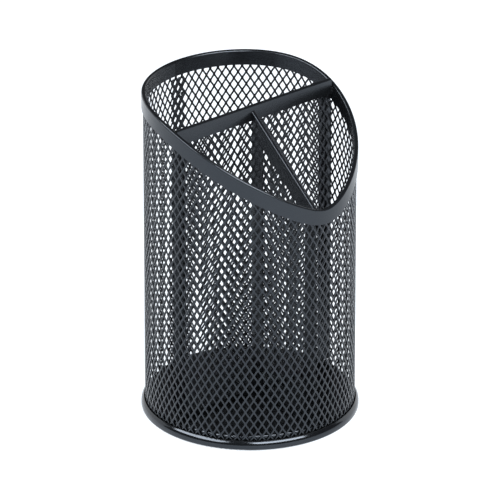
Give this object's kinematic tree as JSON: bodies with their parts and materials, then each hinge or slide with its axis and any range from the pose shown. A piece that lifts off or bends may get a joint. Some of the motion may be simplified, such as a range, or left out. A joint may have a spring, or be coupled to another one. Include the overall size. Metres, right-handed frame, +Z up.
{
  "type": "lazy susan organizer",
  "caption": "Round steel-mesh desk cup with a swept rim and divided compartments, turning on a low ball-bearing turntable under its floor.",
  "frame": {"origin": "on the turning axis at table level, the underside of the rubber feet", "axes": "+Z up along the turning axis; +X along the main divider; -Y towards the cross divider and the low front of the rim"},
  "size_m": [0.1052, 0.1052, 0.165],
  "materials": {
    "satin_black": "satin powder coat",
    "gloss_black": "gloss powder coat",
    "zinc_steel": "zinc plated",
    "ball_steel": "polished",
    "nylon": "natural",
    "rubber": "matte"
  },
  "bodies": {
    "base": {"base_disc": "gloss_black", "lower_race_plate": "zinc_steel", "race_rivets": "zinc_steel", "pivot_rivet": "zinc_steel", "thrust_washer": "nylon", "rubber_feet": "rubber"},
    "cage": {"ball_cage": "nylon", "bearing_balls": "ball_steel"},
    "cup": {"wall_mesh": "satin_black", "top_rim": "satin_black", "base_ring": "gloss_black", "floor_pan": "gloss_black", "main_divider_mesh": "satin_black", "main_divider_top_channel": "satin_black", "main_divider_left_strip": "satin_black", "main_divider_right_strip": "satin_black", "main_divider_foot": "satin_black", "cross_divider_mesh": "satin_black", "cross_divider_top_channel": "satin_black", "cross_divider_inner_strip": "satin_black", "cross_divider_outer_strip": "satin_black", "cross_divider_foot": "satin_black", "upper_race_plate": "zinc_steel"}
  },
  "joints": [
    {"name": "cup_spin", "type": "hinge", "parent": "base", "child": "cup", "pos_m": [0, 0, 0.005], "axis": [0, 0, 1], "continuous": true},
    {"name": "cage_spin", "type": "hinge", "parent": "base", "child": "cage", "pos_m": [0, 0, 0.005], "axis": [0, 0, 1], "continuous": true}
  ],
  "couplings": [
    {"joint": "cage_spin", "follows": "cup_spin", "ratio": 0.5}
  ]
}
